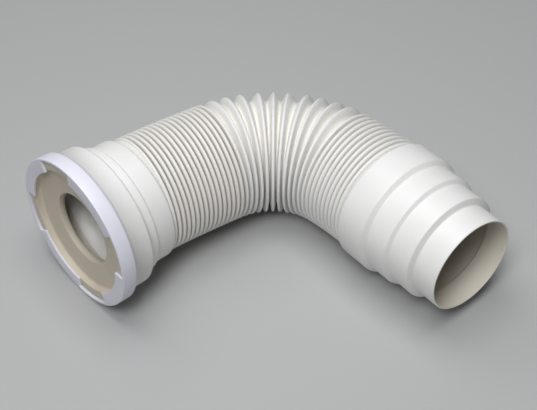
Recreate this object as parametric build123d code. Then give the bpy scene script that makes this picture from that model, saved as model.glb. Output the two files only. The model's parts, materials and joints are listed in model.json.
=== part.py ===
from build123d import *
import os
from math import radians, sin

# Flexible toilet pan connector, lying on its side and bent through a right angle. One blown pipe
# (socket, bellows and stepped spigot), a rubber pan seal in the socket's mouth, and the snap ring
# that holds the seal there. Millimetres.
# Every turned piece is an outline of (distance along its axis, radius) corners, revolved about X.
# The pipe's axis is laid out in the plane Z = 0, with the front of the ring at the origin facing -X
# and the bend turning towards -Y. The whole is then tipped onto the three places that it rests on,
# with the floor at Z = 0 and the origin under the middle of its box.

# Fits between the pieces
SNAP_CLEARANCE = 0.3

# Pipe wall, square to the pipe's axis, and how far the bore's corners at the socket's steps lie ahead
# of the outer ones, so that the steep flanks keep their wall
PIPE_WALL = 1.6
BORE_LEAD = 1.2

# Bellows: radii of the folds, width of the bead along each crest, how far apart the crests are where
# the folds lie shut, and how far the first crest is from the socket's collar there
CREST_RADIUS = 52.3
ROOT_RADIUS = 43.8
BEAD_WIDTH = 2.2
SHUT_PITCH = 4.4
FIRST_GAP = 2.3
SOCKET_SIDE_FOLDS = 17
SPIGOT_SIDE_FOLDS = 10

# Turn of the axis, in degrees: at the valley behind the socket, at each valley between shut folds,
# and at each valley that has been pulled open, counted from the socket
FIRST_TURN = 5.3
SOCKET_SIDE_TURN = 0.3
SPIGOT_SIDE_TURN = 0.95
OPEN_TURNS = (7.2, 5.1, 4.9, 10.2, 4.4, 4.4, 11.7, 2.9, 10.4, 5.3, 8.0)

# Socket, from its rim to the bellows: wide band, step, neck, step and collar
RIM_THICKNESS = 3.0
RIM_HEIGHT = 2.0
SOCKET_LENGTH = 28.7
SHOULDER_LENGTH = 1.7
SHOULDER_ROUND = 2.4
NECK_RADIUS = 57.1
NECK_LENGTH = 8.3
NECK_STEP_LENGTH = 1.1
COLLAR_RADIUS = 54.5
COLLAR_LENGTH = 18.6
COLLAR_BEVEL = 1.2

# Spigot: outer radius and length of each band from the bellows to the open end, and of the steps
BAND_1_RADIUS = 55.0
BAND_1_LENGTH = 27.8
STEP_1_LENGTH = 3.4
BAND_2_RADIUS = 51.2
BAND_2_LENGTH = 20.2
STEP_2_LENGTH = 2.6
BAND_3_RADIUS = 47.8
BAND_3_LENGTH = 20.9
STEP_3_LENGTH = 2.2
BAND_4_RADIUS = 42.4
BAND_4_LENGTH = 22.7
BAND_BEVEL = 1.5

# Snap ring
RING_RADIUS = 67.7
RING_WALL = 2.3
RING_LENGTH = 15.5
RING_BACK_ROUND = 3.0
LUG_COUNT = 4
LUG_ANGLE = 54.0
LUG_FIRST_ANGLE = 60.0
LUG_THICKNESS = 2.2
LUG_REACH = 12.3

# Pan seal
FLANGE_THICKNESS = 3.0
FLANGE_WIDTH = 8.2
FACE_DEPTH = 5.5
FACE_SLOPE = 0.9
SEAL_WALL = 2.5
THROAT_RADIUS = 32.5
THROAT_ROUND = 2.5
LIP_RADIUS = 32.0
LIP_LENGTH = 3.0
LIP_BEVEL = 0.4
LIP_DEPTH = 6.0

# Places along the socket's axis, measured from the front of the ring
FLANGE_FRONT = LUG_THICKNESS
RIM_FRONT = FLANGE_FRONT + FLANGE_THICKNESS
RIM_BACK = RIM_FRONT + RIM_THICKNESS
HOOK_FRONT = RIM_BACK + SNAP_CLEARANCE
SOCKET_END = RIM_FRONT + SOCKET_LENGTH
NECK_START = SOCKET_END + SHOULDER_LENGTH
NECK_END = NECK_START + NECK_LENGTH
COLLAR_START = NECK_END + NECK_STEP_LENGTH
COLLAR_END = COLLAR_START + COLLAR_LENGTH
BELLOWS_START = COLLAR_END + FIRST_GAP / 2

# Radii that follow from the fits
RING_BORE = RING_RADIUS - RING_WALL
RIM_RADIUS = RING_BORE - SNAP_CLEARANCE
SOCKET_RADIUS = RIM_RADIUS - RIM_HEIGHT
SOCKET_BORE = SOCKET_RADIUS - PIPE_WALL
SEAL_RADIUS = SOCKET_BORE - SNAP_CLEARANCE
FLANGE_RADIUS = RIM_RADIUS - SNAP_CLEARANCE
STEP_RADIUS = FLANGE_RADIUS - FLANGE_WIDTH
BELLOWS_BORE = ROOT_RADIUS - PIPE_WALL

UP = Vector(0, 0, 1)


def turned(corners, arc=360):
    """Revolve an outline of (along, radius, rounding) corners about X."""
    points = [(along, radius) for along, radius, rounding in corners]
    rounds = [rounding for along, radius, rounding in corners]
    outline = FilletPolyline(*points, radius=rounds, close=True)
    return revolve(make_face(outline), axis=Axis.X, revolution_arc=arc)


def socket():
    """The pipe's pan end: rim, wide band, rounded shoulder, neck and collar."""
    return turned([
        (RIM_FRONT, SOCKET_BORE, 0),
        (RIM_FRONT, RIM_RADIUS, 0),
        (RIM_BACK, RIM_RADIUS, 0),
        (RIM_BACK, SOCKET_RADIUS, 0),
        (SOCKET_END, SOCKET_RADIUS, SHOULDER_ROUND),
        (NECK_START, NECK_RADIUS, 0),
        (NECK_END, NECK_RADIUS, 0),
        (COLLAR_START, COLLAR_RADIUS, 0),
        (COLLAR_END - COLLAR_BEVEL, COLLAR_RADIUS, 0),
        (COLLAR_END, COLLAR_RADIUS - COLLAR_BEVEL, 0),
        (BELLOWS_START, ROOT_RADIUS, 0),
        (BELLOWS_START, BELLOWS_BORE, 0),
        (BELLOWS_START - PIPE_WALL, BELLOWS_BORE, 0),
        (COLLAR_END - PIPE_WALL, COLLAR_RADIUS - PIPE_WALL, 0),
        (COLLAR_START - BORE_LEAD, COLLAR_RADIUS - PIPE_WALL, 0),
        (NECK_END - BORE_LEAD, NECK_RADIUS - PIPE_WALL, 0),
        (NECK_START - BORE_LEAD, NECK_RADIUS - PIPE_WALL, 0),
        (SOCKET_END - BORE_LEAD, SOCKET_BORE, 0),
    ])


def spigot():
    """The pipe's stepped end, along +X from the last valley of the bellows."""
    bands = (
        (BAND_1_RADIUS, BAND_1_LENGTH, STEP_1_LENGTH),
        (BAND_2_RADIUS, BAND_2_LENGTH, STEP_2_LENGTH),
        (BAND_3_RADIUS, BAND_3_LENGTH, STEP_3_LENGTH),
        (BAND_4_RADIUS, BAND_4_LENGTH, 0),
    )
    along = SHUT_PITCH / 2
    outside = [
        (0, ROOT_RADIUS, 0),
        (along, BAND_1_RADIUS - BAND_BEVEL, 0),
        (along + BAND_BEVEL, BAND_1_RADIUS, 0),
    ]
    bore = [
        (0, BELLOWS_BORE, 0),
        (PIPE_WALL, BELLOWS_BORE, 0),
        (along + PIPE_WALL, BAND_1_RADIUS - PIPE_WALL, 0),
    ]
    for radius, length, step in bands:
        if radius != BAND_1_RADIUS:
            outside.append((along, radius, 0))
            bore.append((along, radius - PIPE_WALL, 0))
        along += length
        outside.append((along, radius, 0))
        bore.append((along, radius - PIPE_WALL, 0))
        along += step
    return turned(outside + bore[::-1])


def half_step(turn, gap):
    """Axis length from a valley to its crest: the fold stays shut on the inside of the bend."""
    return gap / 2 + CREST_RADIUS * sin(radians(turn))


def fold_stations():
    """Walk along the axis: (centre, heading) of each valley and crest in turn, valley first."""
    turns = [SOCKET_SIDE_TURN] * (SOCKET_SIDE_FOLDS - 1)
    turns += OPEN_TURNS
    turns += [SPIGOT_SIDE_TURN] * (SPIGOT_SIDE_FOLDS - 1)
    # the collar stays square to the socket's axis, so the first valley turns on one side only
    centre = Vector(BELLOWS_START, 0, 0)
    heading = Vector(1, 0, 0)
    stations = [(centre, heading)]
    heading = heading.rotate(Axis.Z, -FIRST_TURN)
    centre += heading * half_step(FIRST_TURN, FIRST_GAP)
    stations.append((centre, heading))
    for turn in turns:
        centre += heading * half_step(turn / 2, SHUT_PITCH)
        stations.append((centre, heading.rotate(Axis.Z, -turn / 2)))
        heading = heading.rotate(Axis.Z, -turn)
        centre += heading * half_step(turn / 2, SHUT_PITCH)
        stations.append((centre, heading))
    stations.append((centre + heading * half_step(SPIGOT_SIDE_TURN / 2, SHUT_PITCH), heading))
    return stations


def ring_section(station, radius):
    """A round section square to the pipe's axis at a station."""
    centre, heading = station
    return Plane(origin=centre, x_dir=UP, z_dir=heading) * Circle(radius)


def bead_edges(crest):
    """The two sides of the bead along a crest."""
    centre, heading = crest
    return [(centre + heading * side * BEAD_WIDTH / 2, heading) for side in (-1, 1)]


def bellows(stations):
    """Folds with a groove at each valley; shut folds lie against each other, so their bore is plain."""
    outside = []
    for number, station in enumerate(stations):
        if number % 2:
            outside += [ring_section(edge, CREST_RADIUS) for edge in bead_edges(station)]
        else:
            outside.append(ring_section(station, ROOT_RADIUS))
    first_open = 2 * SOCKET_SIDE_FOLDS
    last_open = first_open + 2 * (len(OPEN_TURNS) - 1)
    bore = [ring_section(stations[0], BELLOWS_BORE)]
    for number in range(first_open, last_open + 1):
        radius = CREST_RADIUS - PIPE_WALL if number % 2 else BELLOWS_BORE
        bore.append(ring_section(stations[number], radius))
    bore.append(ring_section(stations[-1], BELLOWS_BORE))
    return loft(outside, ruled=True) - loft(bore, ruled=True)


def flexible_pipe(stations):
    """Socket, bellows and spigot as one moulding."""
    end, heading = stations[-1]
    end_frame = Plane(origin=end, x_dir=heading, z_dir=UP)
    return socket() + bellows(stations) + end_frame.location * spigot()


def pan_seal():
    """Flange under the lugs, plug in the socket, dished face and a throat with a straight lip."""
    face = FLANGE_FRONT + FACE_DEPTH
    mouth = face + FACE_SLOPE
    lip_start = mouth + LIP_DEPTH - LIP_LENGTH
    lip_end = mouth + LIP_DEPTH
    return turned([
        (FLANGE_FRONT, FLANGE_RADIUS, 0),
        (RIM_FRONT, FLANGE_RADIUS, 0),
        (RIM_FRONT, SEAL_RADIUS, 0),
        (face + SEAL_WALL, SEAL_RADIUS, 0),
        (mouth + SEAL_WALL, THROAT_RADIUS + SEAL_WALL, 0),
        (lip_end, LIP_RADIUS + SEAL_WALL / 2, 0),
        (lip_end, LIP_RADIUS + LIP_BEVEL, 0),
        (lip_end - LIP_BEVEL, LIP_RADIUS, 0),
        (lip_start, LIP_RADIUS, 0),
        (mouth, THROAT_RADIUS, THROAT_ROUND),
        (face, STEP_RADIUS, 0),
        (FLANGE_FRONT, STEP_RADIUS, 0),
    ])


def seal_retaining_ring():
    """Skirt with a hook behind the socket's rim, and lugs in front of the seal's flange."""
    hook_radius = SOCKET_RADIUS + SNAP_CLEARANCE
    ring = turned([
        (0, RING_BORE, 0),
        (0, RING_RADIUS, 0),
        (RING_LENGTH, RING_RADIUS, RING_BACK_ROUND),
        (RING_LENGTH, hook_radius, 0),
        (HOOK_FRONT, hook_radius, 0),
        (HOOK_FRONT, RING_BORE, 0),
    ])
    inner = RING_RADIUS - LUG_REACH
    middle = RING_RADIUS - RING_WALL / 2
    lug_corners = [(0, inner, 0), (0, middle, 0), (LUG_THICKNESS, middle, 0), (LUG_THICKNESS, inner, 0)]
    lug = turned(lug_corners, LUG_ANGLE)
    for number in range(LUG_COUNT):
        # seen from in front of the mouth, -Y is to the right and angles run anticlockwise from it
        middle_angle = LUG_FIRST_ANGLE + number * 360 / LUG_COUNT
        ring += Rot(X=180 - middle_angle - LUG_ANGLE / 2) * lug
    return ring


def lowest_point(rings, down):
    """The lowest point of several circles, each (centre, axis, radius), for a given down direction."""
    best = None
    for centre, axis, radius in rings:
        across = down - axis * down.dot(axis)
        point = centre + across.normalized() * radius
        if best is None or point.dot(down) > best.dot(down):
            best = point
    return best


def resting_place(stations):
    """The frame whose floor touches the ring, the bend and the spigot's widest band."""
    socket_axis = Vector(1, 0, 0)
    end, heading = stations[-1]
    straight = RING_LENGTH - RING_BACK_ROUND
    ring_edges = [(socket_axis * place, socket_axis, RING_RADIUS) for place in (0, straight)]
    crests = []
    for crest in stations[1::2]:
        crests += [(centre, axis, CREST_RADIUS) for centre, axis in bead_edges(crest)]
    band_edges = []
    for place in (SHUT_PITCH / 2 + BAND_BEVEL, SHUT_PITCH / 2 + BAND_1_LENGTH):
        band_edges.append((end + heading * place, heading, BAND_1_RADIUS))
    down = -UP
    settling_rounds = 40
    for _ in range(settling_rounds):
        feet = [lowest_point(rings, down) for rings in (ring_edges, crests, band_edges)]
        normal = (feet[1] - feet[0]).cross(feet[2] - feet[0]).normalized()
        down = normal if normal.Z < 0 else -normal
    level = socket_axis - down * socket_axis.dot(down)
    return Plane(origin=feet[0], x_dir=level, z_dir=-down)


def placed_parts():
    """All three pieces in the frame of the finished part."""
    stations = fold_stations()
    pieces = {
        "flexible_pipe": flexible_pipe(stations),
        "pan_seal": pan_seal(),
        "seal_retaining_ring": seal_retaining_ring(),
    }
    to_floor = resting_place(stations).location.inverse()
    laid = {name: to_floor * piece for name, piece in pieces.items()}
    corners = []
    for piece in laid.values():
        corners += [piece.bounding_box().min, piece.bounding_box().max]
    middle_x = (min(corner.X for corner in corners) + max(corner.X for corner in corners)) / 2
    middle_y = (min(corner.Y for corner in corners) + max(corner.Y for corner in corners)) / 2
    shift = Pos(-middle_x, -middle_y, -min(corner.Z for corner in corners))
    return {name: shift * piece for name, piece in laid.items()}, shift * to_floor


def main():
    os.makedirs("parts", exist_ok=True)
    parts, place = placed_parts()
    for name, piece in parts.items():
        export_step(piece, f"parts/{name}.step")


if __name__ == "__main__":
    main()
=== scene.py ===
import json
from collections import namedtuple
from math import cos, pi, radians, sin

import bmesh
import bpy
from mathutils import Matrix, Vector


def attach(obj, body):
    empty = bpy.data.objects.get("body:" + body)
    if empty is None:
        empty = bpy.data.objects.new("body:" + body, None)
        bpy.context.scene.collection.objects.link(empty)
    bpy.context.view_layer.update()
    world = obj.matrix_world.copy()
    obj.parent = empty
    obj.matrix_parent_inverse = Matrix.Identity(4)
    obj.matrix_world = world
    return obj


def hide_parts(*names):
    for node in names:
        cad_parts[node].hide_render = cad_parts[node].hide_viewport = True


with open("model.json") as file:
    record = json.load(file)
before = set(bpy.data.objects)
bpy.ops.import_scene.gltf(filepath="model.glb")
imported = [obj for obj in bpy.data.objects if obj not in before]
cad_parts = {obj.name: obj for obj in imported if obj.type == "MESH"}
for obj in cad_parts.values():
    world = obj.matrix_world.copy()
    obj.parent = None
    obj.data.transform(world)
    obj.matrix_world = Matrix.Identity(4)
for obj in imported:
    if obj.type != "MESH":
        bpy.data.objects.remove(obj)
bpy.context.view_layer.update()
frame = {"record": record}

MM = 0.001

# Segments round the pipe and the seal, and the distance within which seams are welded
ROUND_SEGMENTS = 112
WELD = 0.01 * MM

# Steps round a softened corner of an outline and over an edge of the ring, and the profile of an arc
CORNER_STEPS = 5
EDGE_STEPS = 3
ARC_PROFILE = 0.5

# Pipe wall and bellows, as in the solids
PIPE_WALL = 1.6 * MM
BORE_LEAD = 1.2 * MM
CREST_RADIUS = 52.3 * MM
ROOT_RADIUS = 43.8 * MM
BELLOWS_BORE = ROOT_RADIUS - PIPE_WALL
SHUT_PITCH = 4.4 * MM
FIRST_GAP = 2.3 * MM
SOCKET_SIDE_FOLDS = 17
SPIGOT_SIDE_FOLDS = 10
FIRST_TURN = 5.3
SOCKET_SIDE_TURN = 0.3
SPIGOT_SIDE_TURN = 0.95
# Turn at each valley that has been pulled open: the photograph's, a little more even than the solids'
OPEN_TURNS = (5.7, 5.7, 6.3, 8.3, 6.4, 6.1, 8.7, 5.8, 7.4, 6.1, 8.0)

# Rings over each bead, and the rounding in each valley
BEAD_STEPS = 6
VALLEY_HALF_WIDTH = 0.25 * MM
VALLEY_RISE = 0.3 * MM

# Painted shade on the pipe, from white at 0 through ivory at a half to dusky at 1: darkening painted into
# the first groove, the folds and the bores where shade falls
FIRST_GROOVE_SHADE = 0.15
# Painted shade in the bellows' and spigot's bore, in the socket's bore near the seal and deeper in at the
# collar
BORE_SHADE = 0.5
SOCKET_BORE_SHADE = 0.6
COLLAR_BORE_SHADE = 0.08
# Where painted shade starts on a fold and where it is at its darkest, as shares of the way from crest to
# valley
SHADE_START_DEPTH = 0.15
FULL_SHADE_DEPTH = 0.5

# One kind of fold: the rounded bead on its crest, the rings along its flanks as shares of the way
# from crest to valley, how far a flank bows from straight at 0 to an even S at 1, and how much
# painted shade its crest and valley carry
Fold = namedtuple("Fold", "bead_half_width bead_height flank_shares bow crest_dull valley_dull")
# The last two numbers of each kind are the painted shade on its crest and in its valley: heaviest in the
# shut folds by the socket, light in the open folds
SOCKET_SIDE_FOLD = Fold(1.5 * MM, 1.8 * MM, (0.33, 0.67), 0, 0.06, 1.0)
OPEN_FOLD = Fold(1.15 * MM, 0.7 * MM, (0.06, 0.2, 0.36, 0.52, 0.68, 0.84), 0.75, 0, 0.12)
SPIGOT_SIDE_FOLD = Fold(1.6 * MM, 1.6 * MM, (0.33, 0.67), 0, 0.03, 0.4)

# One round section of the bellows
Ring = namedtuple("Ring", "centre heading radius dull")

# Socket, with places measured from the front of the ring to the bellows
RIM_FRONT = 5.2 * MM
RIM_BACK = 8.2 * MM
RIM_RADIUS = 65.1 * MM
SOCKET_RADIUS = 63.1 * MM
SOCKET_END = 33.9 * MM
NECK_START = 35.6 * MM
NECK_RADIUS = 57.1 * MM
NECK_END = 43.9 * MM
COLLAR_START = 45.0 * MM
COLLAR_RADIUS = 54.5 * MM
COLLAR_END = 63.6 * MM
COLLAR_BEVEL = 1.2 * MM
BORE_TAPER_START = 26.0 * MM
BELLOWS_START = COLLAR_END + FIRST_GAP / 2

# Softened corners of the pipe
RIM_SOFT = 0.3 * MM
SHOULDER_SOFT = 1.8 * MM
NECK_SOFT = 0.8 * MM
COLLAR_SOFT = 0.9 * MM
COLLAR_EDGE_SOFT = 0.4 * MM
BORE_TAPER_SOFT = 4.6 * MM
BORE_SOFT = 1.3 * MM
BAND_SOFT = 0.8 * MM
END_SOFT = 0.75 * MM

# Spigot bands: bevel of the first, then outer radius, length and length of the step that follows
BAND_BEVEL = 1.5 * MM
BANDS = (
    (55.0 * MM, 27.8 * MM, 3.4 * MM),
    (51.2 * MM, 20.2 * MM, 2.6 * MM),
    (47.8 * MM, 20.9 * MM, 2.2 * MM),
    (42.4 * MM, 22.7 * MM, 0.0),
)

# Snap ring, with angles in degrees. LUG_STEP is the turn between its sections, LUG_END_EDGES the most
# edges round the end of a lug, and edges sharper than SHARP_ANGLE are rounded by RING_EDGE
RING_RADIUS = 67.7 * MM
RING_BORE = 65.4 * MM
RING_LENGTH = 15.5 * MM
RING_BACK_ROUND = 3.0 * MM
HOOK_FRONT = 8.5 * MM
HOOK_RADIUS = 63.4 * MM
LUG_INNER = 55.4 * MM
LUG_THICKNESS = 2.2 * MM
LUG_COUNT = 4
LUG_ANGLE = 54.0
LUG_FIRST_ANGLE = 60.0
LUG_STEP = 3.0
LUG_END_EDGES = 8
RING_EDGE = 0.45 * MM
SHARP_ANGLE = 30.0

# Pan seal: places from the front of the ring, then radii
FLANGE_FRONT = LUG_THICKNESS
FLANGE_BACK = RIM_FRONT
SEAL_FACE = 7.7 * MM
SEAL_MOUTH = 8.6 * MM
SEAL_WALL = 2.5 * MM
LIP_START = 11.6 * MM
LIP_END = 14.6 * MM
LIP_BEVEL = 0.4 * MM
FLANGE_RADIUS = 64.8 * MM
SEAL_RADIUS = 61.2 * MM
STEP_RADIUS = 56.6 * MM
THROAT_RADIUS = 32.5 * MM
LIP_RADIUS = 32.0 * MM
THROAT_SOFT = 1.3 * MM
STEP_SOFT = 2.2 * MM
FLANGE_SOFT = 0.8 * MM
SEAL_EDGE_SOFT = 0.4 * MM

# Distance from the front of the ring to the middle of the seal's bore
INLET_DEPTH = LIP_END - (LIP_END - LIP_START + LIP_BEVEL) / 2

# Camera of the photograph: place, direction in degrees and focal length in picture widths
CAMERA_PLACE = (-0.4210, -0.5088, 0.8070)
CAMERA_YAW = 50.32
CAMERA_PITCH = 48.11
CAMERA_ROLL = -3.17
FOCAL_WIDTHS = 1200 / 537
SENSOR_WIDTH = 36
CLIP_START = 0.01

# Clouding and mould grain: detail of each, and height of the grain in metres
CLOUD_DETAIL = 4.0
GRAIN_DETAIL = 2.0
GRAIN_HEIGHT = 0.0002
# Where the clouding reaches a finish's low and high shade
LOW_CLOUD = 0.3
HIGH_CLOUD = 0.7

# Low and high shade of each finish, and how strongly it bends light
PIPE_SHADES = ((0.845, 0.843, 0.825), (0.87, 0.868, 0.852))
SEAL_SHADES = ((0.63, 0.567, 0.467), (0.67, 0.604, 0.50))
RING_SHADES = ((0.785, 0.785, 0.87), (0.815, 0.815, 0.90))
PLASTIC_IOR = 1.49
RUBBER_IOR = 1.52
# What the pipe's white is multiplied by with no painted shade, half painted shade and full painted shade
UNSHADED = (1, 1, 1, 1)
HALF_SHADE_TINT = (0.91, 0.85, 0.75, 1)
FULL_SHADE_TINT = (0.55, 0.52, 0.46, 1)
HALF_SHADE = 0.5
# Places of the colour sockets of a mix node
MIX_FIRST = 6
MIX_SECOND = 7
MIX_RESULT = 2

# Floor and light: each lamp's name, place, size and power
FLOOR_SIZE = 4
FLOOR_COLOUR = (0.45, 0.45, 0.45, 1)
FLOOR_ROUGHNESS = 0.8
FILL_COLOUR = (1, 0.99, 0.97, 1)
FILL_STRENGTH = 0.05
LAMP_COLOUR = (0.98, 0.99, 1)
LAMP_TARGET = (0, 0, 0.05)
LAMPS = (
    ("overhead", (0, 0, 1.65), 1.0, 13.6),
    ("mouth_side", (-0.67, -0.44, 1.44), 0.5, 11.6),
    ("behind", (0, 0.8, 1.44), 0.8, 3.8),
)


def laid_frame():
    """The place of the pipe's own layout on the floor, from the record's inlet and spigot."""
    mounts = {mount["name"]: mount for mount in frame["record"]["mounts"]}
    inlet = mounts["pan_inlet"]
    along = -Vector(inlet["axis"]).normalized()
    spigot_axis = Vector(mounts["soil_band_110"]["axis"])
    up = spigot_axis.cross(along).normalized()
    side = up.cross(along)
    origin = Vector(inlet["pos_m"]) - along * INLET_DEPTH
    place = Matrix((along, side, up)).transposed().to_4x4()
    place.translation = origin
    return place


def chain(bm, corners, closed):
    """A chain of edges through (along, radius, corner cut) places, each with an amount of painted shade if
    it has one.
    """
    shade_layer = bm.verts.layers.float.new("painted_shade_amount")
    points = []
    for along, radius, cut, *dull in corners:
        point = bm.verts.new((along, 0, radius))
        if dull:
            point[shade_layer] = dull[0]
        points.append(point)
    for one, other in zip(points, points[1:]):
        bm.edges.new((one, other))
    if closed:
        bm.edges.new((points[-1], points[0]))
    for point, corner in zip(points, corners):
        cut = corner[2]
        if cut:
            bmesh.ops.bevel(bm, geom=[point], offset=cut, offset_type="OFFSET", segments=CORNER_STEPS,
                            profile=ARC_PROFILE, affect="VERTICES", material=-1)


def spin_round(bm):
    """Turn every edge of a chain about the X axis into a closed skin."""
    bmesh.ops.spin(bm, geom=bm.verts[:] + bm.edges[:], cent=(0, 0, 0), axis=(1, 0, 0), dvec=(0, 0, 0),
                   angle=2 * pi, steps=ROUND_SEGMENTS, use_merge=True)


def turned(corners, closed=True):
    """A bmesh of one outline turned about X."""
    bm = bmesh.new()
    chain(bm, corners, closed)
    spin_round(bm)
    return bm


def finished_mesh(bm, name):
    """Weld the seams, turn the faces outwards and make a mesh."""
    bmesh.ops.remove_doubles(bm, verts=bm.verts[:], dist=WELD)
    bmesh.ops.recalc_face_normals(bm, faces=bm.faces[:])
    mesh = bpy.data.meshes.new(name)
    bm.to_mesh(mesh)
    bm.free()
    for polygon in mesh.polygons:
        polygon.use_smooth = True
    return mesh


def add_to(bm, other):
    """Add another bmesh's geometry to this one."""
    mesh = bpy.data.meshes.new("joining")
    other.to_mesh(mesh)
    other.free()
    bm.from_mesh(mesh)
    bpy.data.meshes.remove(mesh)


def piece_from(mesh, node, material):
    """A finished piece that stands for a CAD node."""
    piece = bpy.data.objects.new(mesh.name, mesh)
    bpy.context.scene.collection.objects.link(piece)
    mesh.materials.append(material)
    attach(piece, "root")
    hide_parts(node)
    return piece


def half_step(turn, gap):
    """Axis length from a valley to its crest: the fold stays shut on the inside of the bend."""
    return gap / 2 + CREST_RADIUS * sin(radians(turn))


def turned_heading(heading, degrees):
    """A heading swung round the upright of the pipe's layout."""
    return Matrix.Rotation(-radians(degrees), 3, "Z") @ heading


def fold_stations():
    """(centre, heading) of each valley and crest in turn, valley first."""
    turns = [SOCKET_SIDE_TURN] * (SOCKET_SIDE_FOLDS - 1)
    turns += OPEN_TURNS
    turns += [SPIGOT_SIDE_TURN] * (SPIGOT_SIDE_FOLDS - 1)
    centre = Vector((BELLOWS_START, 0, 0))
    heading = Vector((1, 0, 0))
    stations = [(centre.copy(), heading.copy())]
    heading = turned_heading(heading, FIRST_TURN)
    centre += heading * half_step(FIRST_TURN, FIRST_GAP)
    stations.append((centre.copy(), heading.copy()))
    for turn in turns:
        centre += heading * half_step(turn / 2, SHUT_PITCH)
        stations.append((centre.copy(), turned_heading(heading, turn / 2)))
        heading = turned_heading(heading, turn)
        centre += heading * half_step(turn / 2, SHUT_PITCH)
        stations.append((centre.copy(), heading.copy()))
    centre += heading * half_step(SPIGOT_SIDE_TURN / 2, SHUT_PITCH)
    stations.append((centre.copy(), heading.copy()))
    return stations


def fold_at(number):
    """The kind of fold that a station belongs to, counted from the first valley."""
    first_open = 2 * SOCKET_SIDE_FOLDS - 1
    if number < first_open:
        return SOCKET_SIDE_FOLD
    if number <= first_open + 2 * len(OPEN_TURNS):
        return OPEN_FOLD
    return SPIGOT_SIDE_FOLD


def painted_shade_at(radius, fold):
    """How much painted shade a fold has at a radius: the bead stays unshaded, and the painted shade in the
    groove below it deepens fast.
    """
    depth = (CREST_RADIUS - radius) / (CREST_RADIUS - ROOT_RADIUS)
    share = min(max((depth - SHADE_START_DEPTH) / (FULL_SHADE_DEPTH - SHADE_START_DEPTH), 0), 1)
    return fold.crest_dull + (fold.valley_dull - fold.crest_dull) * share


def crest_rings(station, fold):
    """Rings over one rolled bead."""
    centre, heading = station
    rings = []
    for step in range(BEAD_STEPS + 1):
        angle = pi * (1 - step / BEAD_STEPS)
        radius = CREST_RADIUS - fold.bead_height * (1 - sin(angle))
        place = centre + heading * fold.bead_half_width * cos(angle)
        rings.append(Ring(place, heading, radius, painted_shade_at(radius, fold)))
    return rings


def valley_rings(station, fold):
    """Rings round the bottom of one groove."""
    centre, heading = station
    rings = []
    for side, rise in ((-1, VALLEY_RISE), (0, 0), (1, VALLEY_RISE)):
        place = centre + heading * side * VALLEY_HALF_WIDTH
        radius = ROOT_RADIUS + rise
        rings.append(Ring(place, heading, radius, painted_shade_at(radius, fold)))
    return rings


def flank_rings(crest, valley, fold):
    """Rings from the edge of a bead down to the edge of a groove."""
    rings = []
    for share in fold.flank_shares:
        even_s = share * share * (3 - 2 * share)
        drop = share + fold.bow * (even_s - share)
        radius = crest.radius + (valley.radius - crest.radius) * drop
        place = crest.centre.lerp(valley.centre, share)
        heading = crest.heading.lerp(valley.heading, share).normalized()
        rings.append(Ring(place, heading, radius, painted_shade_at(radius, fold)))
    return rings


def outer_fold_rings(stations):
    """Every ring of the bellows' outside."""
    rings = [Ring(*stations[0], ROOT_RADIUS, FIRST_GROOVE_SHADE)]
    for number, station in enumerate(stations[1:-1], 1):
        fold = fold_at(number)
        # a flank between an open and a shut fold is the shut one's, and the one beside the collar is open
        before = fold_at(number - 1)
        flank = fold if before is OPEN_FOLD else before
        if number == 1:
            flank = OPEN_FOLD
        if number % 2:
            bead = crest_rings(station, fold)
            rings += flank_rings(bead[0], rings[-1], flank)[::-1] + bead
        else:
            groove = valley_rings(station, fold)
            rings += flank_rings(rings[-1], groove[0], flank) + groove
    rings.append(Ring(*stations[-1], ROOT_RADIUS, SPIGOT_SIDE_FOLD.valley_dull))
    return rings


def bore_rings(stations):
    """Rings of the bellows' bore: plain where the folds are shut, folded where they are open."""
    first_open = 2 * SOCKET_SIDE_FOLDS
    last_open = first_open + 2 * (len(OPEN_TURNS) - 1)
    # The bellows' bore carries an even painted shade
    rings = [Ring(*stations[0], BELLOWS_BORE, BORE_SHADE)]
    for number in range(2, len(stations) - 1):
        shut = number < first_open or number > last_open
        if shut and number % 2:
            continue
        radius = BELLOWS_BORE if shut or number % 2 == 0 else CREST_RADIUS - PIPE_WALL
        rings.append(Ring(*stations[number], radius, BORE_SHADE))
    rings.append(Ring(*stations[-1], BELLOWS_BORE, BORE_SHADE))
    return rings


def ring_frame(ring):
    """Matrix that puts a unit circle onto a ring."""
    up = Vector((0, 0, 1))
    side = ring.heading.cross(up)
    place = Matrix((up, side, ring.heading)).transposed().to_4x4()
    place.translation = ring.centre
    return place @ Matrix.Diagonal((ring.radius, ring.radius, ring.radius, 1))


def ring_skin(rings):
    """Carry a circle from ring to ring, drawing a skin behind it and giving each ring its painted shade."""
    bm = bmesh.new()
    shade_layer = bm.verts.layers.float.new("painted_shade_amount")
    bmesh.ops.create_circle(bm, cap_ends=False, radius=1, segments=ROUND_SEGMENTS,
                            matrix=ring_frame(rings[0]))
    loop = bm.edges[:]
    for vert in bm.verts:
        vert[shade_layer] = rings[0].dull
    for one, other in zip(rings, rings[1:]):
        grown = bmesh.ops.extrude_edge_only(bm, edges=loop)["geom"]
        verts = [item for item in grown if isinstance(item, bmesh.types.BMVert)]
        loop = [item for item in grown if isinstance(item, bmesh.types.BMEdge)]
        bmesh.ops.transform(bm, matrix=ring_frame(other) @ ring_frame(one).inverted(), verts=verts)
        for vert in verts:
            vert[shade_layer] = other.dull
    return bm


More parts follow.
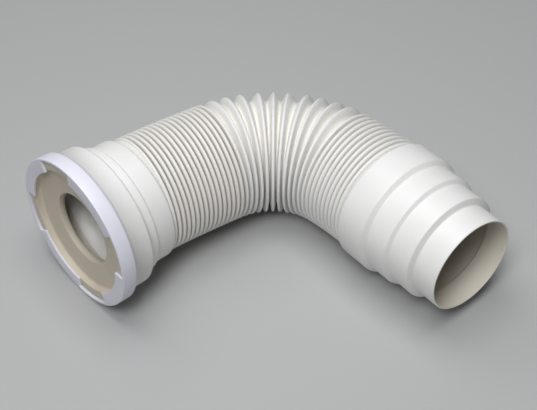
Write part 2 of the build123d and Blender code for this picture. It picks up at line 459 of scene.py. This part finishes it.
def socket_outside():
    """Outside of the pan end, from the bore at its rim to the first valley."""
    return turned([
        (RIM_FRONT, SOCKET_RADIUS - PIPE_WALL, 0, SOCKET_BORE_SHADE),
        (RIM_FRONT, RIM_RADIUS, RIM_SOFT),
        (RIM_BACK, RIM_RADIUS, RIM_SOFT),
        (RIM_BACK, SOCKET_RADIUS, 0),
        (SOCKET_END, SOCKET_RADIUS, SHOULDER_SOFT),
        (NECK_START, NECK_RADIUS, NECK_SOFT),
        (NECK_END, NECK_RADIUS, NECK_SOFT),
        (COLLAR_START, COLLAR_RADIUS, NECK_SOFT),
        (COLLAR_END - COLLAR_BEVEL, COLLAR_RADIUS, COLLAR_SOFT),
        (COLLAR_END, COLLAR_RADIUS - COLLAR_BEVEL, COLLAR_EDGE_SOFT),
        (BELLOWS_START, ROOT_RADIUS, 0, FIRST_GROOVE_SHADE),
    ], closed=False)


def socket_bore():
    """Bore of the pan end, where blowing leaves a smooth taper behind the outside's steps."""
    return turned([
        # Painted shade in the bore: heavy near the seal, almost none deeper in at the collar
        (RIM_FRONT, SOCKET_RADIUS - PIPE_WALL, 0, SOCKET_BORE_SHADE),
        (BORE_TAPER_START, SOCKET_RADIUS - PIPE_WALL, BORE_TAPER_SOFT, SOCKET_BORE_SHADE),
        (NECK_START - BORE_LEAD, NECK_RADIUS - PIPE_WALL, BORE_TAPER_SOFT, COLLAR_BORE_SHADE),
        (COLLAR_START - BORE_LEAD, COLLAR_RADIUS - PIPE_WALL, BORE_TAPER_SOFT, COLLAR_BORE_SHADE),
        (COLLAR_END - PIPE_WALL, COLLAR_RADIUS - PIPE_WALL, BORE_SOFT, COLLAR_BORE_SHADE),
        (BELLOWS_START - PIPE_WALL, BELLOWS_BORE, BORE_SOFT, BORE_SHADE),
        (BELLOWS_START, BELLOWS_BORE, 0, BORE_SHADE),
    ], closed=False)


def spigot_skin():
    """Outside, open rim and bore of the stepped end, along +X from the last valley."""
    first_radius = BANDS[0][0]
    along = SHUT_PITCH / 2
    outside = [
        (0, ROOT_RADIUS, 0, SPIGOT_SIDE_FOLD.valley_dull),
        (along, first_radius - BAND_BEVEL, COLLAR_EDGE_SOFT),
        (along + BAND_BEVEL, first_radius, BAND_SOFT),
    ]
    bore = [
        (0, BELLOWS_BORE, 0, BORE_SHADE),
        (PIPE_WALL, BELLOWS_BORE, BORE_SOFT, BORE_SHADE),
        (along + PIPE_WALL, first_radius - PIPE_WALL, BAND_SOFT, BORE_SHADE),
    ]
    for number, (radius, length, step) in enumerate(BANDS):
        if number:
            outside.append((along, radius, BAND_SOFT))
            bore.append((along, radius - PIPE_WALL, BORE_SOFT, BORE_SHADE))
        along += length
        soft = BAND_SOFT if step else END_SOFT
        outside.append((along, radius, soft))
        bore_soft = BORE_SOFT if step else END_SOFT
        bore.append((along, radius - PIPE_WALL, bore_soft, BORE_SHADE))
        along += step
    return turned(outside + bore[::-1], closed=False)


def make_pipe(place, material):
    """The blown pipe: socket, bellows and stepped spigot in one skin."""
    stations = fold_stations()
    bm = ring_skin(outer_fold_rings(stations))
    add_to(bm, ring_skin(bore_rings(stations)))
    add_to(bm, socket_outside())
    add_to(bm, socket_bore())
    end, heading = stations[-1]
    end_place = Matrix((heading, Vector((0, 0, 1)).cross(heading), Vector((0, 0, 1)))).transposed().to_4x4()
    end_place.translation = end
    spigot = spigot_skin()
    bmesh.ops.transform(spigot, matrix=end_place, verts=spigot.verts[:])
    add_to(bm, spigot)
    bmesh.ops.transform(bm, matrix=place, verts=bm.verts[:])
    return piece_from(finished_mesh(bm, "blown_pipe"), "flexible_pipe", material)


def make_seal(place, material):
    """Rubber seal: flange under the lugs, plug in the socket, dished face and a short lip."""
    bm = turned([
        (FLANGE_FRONT, FLANGE_RADIUS, SEAL_EDGE_SOFT),
        (FLANGE_BACK, FLANGE_RADIUS, SEAL_EDGE_SOFT),
        (FLANGE_BACK, SEAL_RADIUS, 0),
        (SEAL_FACE + SEAL_WALL, SEAL_RADIUS, SEAL_EDGE_SOFT),
        (SEAL_MOUTH + SEAL_WALL, THROAT_RADIUS + SEAL_WALL, SEAL_EDGE_SOFT),
        (LIP_END, LIP_RADIUS + SEAL_WALL / 2, LIP_BEVEL),
        (LIP_END, LIP_RADIUS + LIP_BEVEL, 0),
        (LIP_END - LIP_BEVEL, LIP_RADIUS, 0),
        (LIP_START, LIP_RADIUS, SEAL_EDGE_SOFT),
        (SEAL_MOUTH, THROAT_RADIUS, THROAT_SOFT),
        (SEAL_FACE, STEP_RADIUS, STEP_SOFT),
        (FLANGE_FRONT, STEP_RADIUS, FLANGE_SOFT),
    ])
    bmesh.ops.transform(bm, matrix=place, verts=bm.verts[:])
    return piece_from(finished_mesh(bm, "rubber_pan_seal"), "pan_seal", material)


def ring_sector(outline, first, sweep):
    """One outline of the ring swept through part of a turn, from a first angle on."""
    bm = bmesh.new()
    chain(bm, outline, True)
    # seen from in front of the mouth, -Y is to the right and angles run anticlockwise from it
    start = Matrix.Rotation(radians(90 - first), 4, "X")
    bmesh.ops.transform(bm, matrix=start, verts=bm.verts[:])
    bmesh.ops.spin(bm, geom=bm.verts[:] + bm.edges[:], cent=(0, 0, 0), axis=(1, 0, 0), dvec=(0, 0, 0),
                   angle=-radians(sweep), steps=round(sweep / LUG_STEP), use_merge=False)
    return bm


def make_ring(place, material):
    """Snap ring: skirt, hook and four front lugs."""
    skirt = [
        (0, RING_RADIUS, 0),
        (RING_LENGTH - RING_BACK_ROUND, RING_RADIUS, 0),
        (RING_LENGTH, RING_RADIUS - RING_BACK_ROUND, 0),
        (RING_LENGTH, HOOK_RADIUS, 0),
        (HOOK_FRONT, HOOK_RADIUS, 0),
        (HOOK_FRONT, RING_BORE, 0),
        (LUG_THICKNESS, RING_BORE, 0),
    ]
    plain = skirt + [(0, RING_BORE, 0)]
    lugged = skirt + [(LUG_THICKNESS, LUG_INNER, 0), (0, LUG_INNER, 0), (0, RING_BORE, 0)]
    lug_spacing = 360 / LUG_COUNT
    bm = bmesh.new()
    for number in range(LUG_COUNT):
        lug_start = LUG_FIRST_ANGLE + number * lug_spacing - LUG_ANGLE / 2
        add_to(bm, ring_sector(lugged, lug_start, LUG_ANGLE))
        add_to(bm, ring_sector(plain, lug_start + LUG_ANGLE, lug_spacing - LUG_ANGLE))
    bmesh.ops.remove_doubles(bm, verts=bm.verts[:], dist=WELD)
    # the two end faces of each lug
    open_edges = [edge for edge in bm.edges if edge.is_boundary]
    bmesh.ops.holes_fill(bm, edges=open_edges, sides=LUG_END_EDGES)
    bmesh.ops.recalc_face_normals(bm, faces=bm.faces[:])
    sharp = []
    for edge in bm.edges:
        if len(edge.link_faces) == 2 and edge.calc_face_angle() > radians(SHARP_ANGLE):
            sharp.append(edge)
    bmesh.ops.bevel(bm, geom=sharp, offset=RING_EDGE, offset_type="OFFSET", segments=EDGE_STEPS,
                    profile=ARC_PROFILE, affect="EDGES", clamp_overlap=True, material=-1)
    bmesh.ops.transform(bm, matrix=place, verts=bm.verts[:])
    mesh = finished_mesh(bm, "snap_ring")
    return piece_from(mesh, "seal_retaining_ring", material)


def socket_in(group, name, kind, value=None):
    """A named input of a node group."""
    socket = group.interface.new_socket(name=name, in_out="INPUT", socket_type=kind)
    if value is not None:
        socket.default_value = value
    return socket


def mould_grain_group():
    """Soft clouding and fine mould grain, shared by all three finishes."""
    group = bpy.data.node_groups.new("mould_grain", "ShaderNodeTree")
    socket_in(group, "Cloud Scale", "NodeSocketFloat", 30.0)
    socket_in(group, "Grain Scale", "NodeSocketFloat", 2000.0)
    socket_in(group, "Grain Depth", "NodeSocketFloat", 0.05)
    socket_in(group, "Low Roughness", "NodeSocketFloat", 0.35)
    socket_in(group, "High Roughness", "NodeSocketFloat", 0.5)
    group.interface.new_socket(name="Cloud", in_out="OUTPUT", socket_type="NodeSocketFloat")
    group.interface.new_socket(name="Roughness", in_out="OUTPUT", socket_type="NodeSocketFloat")
    group.interface.new_socket(name="Normal", in_out="OUTPUT", socket_type="NodeSocketVector")
    nodes = group.nodes
    links = group.links
    given = nodes.new("NodeGroupInput")
    result = nodes.new("NodeGroupOutput")
    place = nodes.new("ShaderNodeTexCoord")
    cloud = nodes.new("ShaderNodeTexNoise")
    cloud.inputs["Detail"].default_value = CLOUD_DETAIL
    links.new(place.outputs["Object"], cloud.inputs["Vector"])
    links.new(given.outputs["Cloud Scale"], cloud.inputs["Scale"])
    grain = nodes.new("ShaderNodeTexNoise")
    grain.inputs["Detail"].default_value = GRAIN_DETAIL
    links.new(place.outputs["Object"], grain.inputs["Vector"])
    links.new(given.outputs["Grain Scale"], grain.inputs["Scale"])
    spread = nodes.new("ShaderNodeMapRange")
    links.new(cloud.outputs["Fac"], spread.inputs["Value"])
    links.new(given.outputs["Low Roughness"], spread.inputs["To Min"])
    links.new(given.outputs["High Roughness"], spread.inputs["To Max"])
    bump = nodes.new("ShaderNodeBump")
    bump.inputs["Distance"].default_value = GRAIN_HEIGHT
    links.new(given.outputs["Grain Depth"], bump.inputs["Strength"])
    links.new(grain.outputs["Fac"], bump.inputs["Height"])
    links.new(cloud.outputs["Fac"], result.inputs["Cloud"])
    links.new(spread.outputs["Result"], result.inputs["Roughness"])
    links.new(bump.outputs["Normal"], result.inputs["Normal"])
    return group


def started_material(name, grain_group, settings):
    """A material with the shared grain already joined to its shader."""
    material = bpy.data.materials.new(name)
    material.use_nodes = True
    tree = material.node_tree
    shader = tree.nodes["Principled BSDF"]
    grain = tree.nodes.new("ShaderNodeGroup")
    grain.node_tree = grain_group
    for label, value in settings.items():
        grain.inputs[label].default_value = value
    tree.links.new(grain.outputs["Roughness"], shader.inputs["Roughness"])
    tree.links.new(grain.outputs["Normal"], shader.inputs["Normal"])
    return material, tree, shader, grain


def cloud_colour(tree, grain, low, high):
    """A colour that drifts between two shades with the clouding."""
    ramp = tree.nodes.new("ShaderNodeValToRGB")
    ramp.color_ramp.elements[0].position = LOW_CLOUD
    ramp.color_ramp.elements[0].color = (*low, 1)
    ramp.color_ramp.elements[1].position = HIGH_CLOUD
    ramp.color_ramp.elements[1].color = (*high, 1)
    tree.links.new(grain.outputs["Cloud"], ramp.inputs["Fac"])
    return ramp


def pipe_finish(grain_group):
    """White blown plastic, with painted shade, ivory to dusky, down in the folds and the bores."""
    material, tree, shader, grain = started_material("blown_white_plastic", grain_group, {
        "Cloud Scale": 25.0, "Grain Scale": 1500.0, "Grain Depth": 0.04,
        "Low Roughness": 0.36, "High Roughness": 0.46})
    white = cloud_colour(tree, grain, *PIPE_SHADES)
    # Painted shade of the folds and bores, carried by a vertex attribute and turned into an ivory to dusky
    # darkening of the white
    fold = tree.nodes.new("ShaderNodeAttribute")
    fold.attribute_name = "painted_shade_amount"
    shade_ramp = tree.nodes.new("ShaderNodeValToRGB")
    shade_ramp.color_ramp.elements[0].position = 0.0
    shade_ramp.color_ramp.elements[0].color = UNSHADED
    shade_ramp.color_ramp.elements[1].position = 1.0
    shade_ramp.color_ramp.elements[1].color = FULL_SHADE_TINT
    half_shade_stop = shade_ramp.color_ramp.elements.new(HALF_SHADE)
    half_shade_stop.color = HALF_SHADE_TINT
    tree.links.new(fold.outputs["Fac"], shade_ramp.inputs["Fac"])
    shaded_white = tree.nodes.new("ShaderNodeMix")
    shaded_white.data_type = "RGBA"
    shaded_white.blend_type = "MULTIPLY"
    shaded_white.inputs["Factor"].default_value = 1.0
    tree.links.new(white.outputs["Color"], shaded_white.inputs[MIX_FIRST])
    tree.links.new(shade_ramp.outputs["Color"], shaded_white.inputs[MIX_SECOND])
    tree.links.new(shaded_white.outputs[MIX_RESULT], shader.inputs["Base Color"])
    shader.inputs["IOR"].default_value = PLASTIC_IOR
    return material


def seal_finish(grain_group):
    """Smooth beige rubber."""
    material, tree, shader, grain = started_material("beige_seal_rubber", grain_group, {
        "Cloud Scale": 35.0, "Grain Scale": 1200.0, "Grain Depth": 0.08,
        "Low Roughness": 0.5, "High Roughness": 0.62})
    beige = cloud_colour(tree, grain, *SEAL_SHADES)
    tree.links.new(beige.outputs["Color"], shader.inputs["Base Color"])
    shader.inputs["IOR"].default_value = RUBBER_IOR
    return material


def ring_finish(grain_group):
    """Bluish white moulded plastic."""
    material, tree, shader, grain = started_material("bluish_white_moulding", grain_group, {
        "Cloud Scale": 30.0, "Grain Scale": 1800.0, "Grain Depth": 0.03,
        "Low Roughness": 0.34, "High Roughness": 0.42})
    bluish = cloud_colour(tree, grain, *RING_SHADES)
    tree.links.new(bluish.outputs["Color"], shader.inputs["Base Color"])
    shader.inputs["IOR"].default_value = PLASTIC_IOR
    return material


def make_floor():
    """Plain pale floor."""
    bm = bmesh.new()
    bmesh.ops.create_grid(bm, x_segments=1, y_segments=1, size=FLOOR_SIZE)
    mesh = bpy.data.meshes.new("floor")
    bm.to_mesh(mesh)
    bm.free()
    floor = bpy.data.objects.new("floor", mesh)
    bpy.context.scene.collection.objects.link(floor)
    material = bpy.data.materials.new("pale_floor")
    material.use_nodes = True
    shader = material.node_tree.nodes["Principled BSDF"]
    shader.inputs["Base Color"].default_value = FLOOR_COLOUR
    shader.inputs["Roughness"].default_value = FLOOR_ROUGHNESS
    mesh.materials.append(material)


def make_lamp(name, place, size, power):
    """A soft square lamp that points at the part."""
    data = bpy.data.lights.new(name, "AREA")
    data.shape = "SQUARE"
    data.size = size
    data.energy = power
    data.color = LAMP_COLOUR
    lamp = bpy.data.objects.new(name, data)
    lamp.location = place
    lamp.rotation_euler = (Vector(LAMP_TARGET) - Vector(place)).to_track_quat("-Z", "Y").to_euler()
    bpy.context.scene.collection.objects.link(lamp)


def make_light():
    """Soft studio light from overhead, into the mouth and from behind, with a faint fill all round."""
    world = bpy.data.worlds.new("studio")
    world.use_nodes = True
    background = world.node_tree.nodes["Background"]
    background.inputs["Color"].default_value = FILL_COLOUR
    background.inputs["Strength"].default_value = FILL_STRENGTH
    bpy.context.scene.world = world
    for lamp in LAMPS:
        make_lamp(*lamp)


def make_camera():
    """Camera where the photograph was taken from."""
    yaw = radians(CAMERA_YAW)
    pitch = radians(CAMERA_PITCH)
    roll = radians(CAMERA_ROLL)
    ahead = Vector((cos(pitch) * cos(yaw), cos(pitch) * sin(yaw), -sin(pitch)))
    level = Vector((sin(yaw), -cos(yaw), 0))
    above = level.cross(ahead)
    right = level * cos(roll) + above * sin(roll)
    up = above * cos(roll) - level * sin(roll)
    data = bpy.data.cameras.new("photo_camera")
    data.sensor_fit = "HORIZONTAL"
    data.sensor_width = SENSOR_WIDTH
    data.lens = FOCAL_WIDTHS * data.sensor_width
    data.clip_start = CLIP_START
    camera = bpy.data.objects.new("photo_camera", data)
    turn = Matrix((right, up, -ahead)).transposed().to_4x4()
    turn.translation = Vector(CAMERA_PLACE)
    camera.matrix_world = turn
    bpy.context.scene.collection.objects.link(camera)
    bpy.context.scene.camera = camera


def main():
    grain_group = mould_grain_group()
    place = laid_frame()
    make_pipe(place, pipe_finish(grain_group))
    make_seal(place, seal_finish(grain_group))
    make_ring(place, ring_finish(grain_group))
    make_floor()
    make_light()
    make_camera()
    bpy.context.scene.view_settings.view_transform = "Standard"


main()
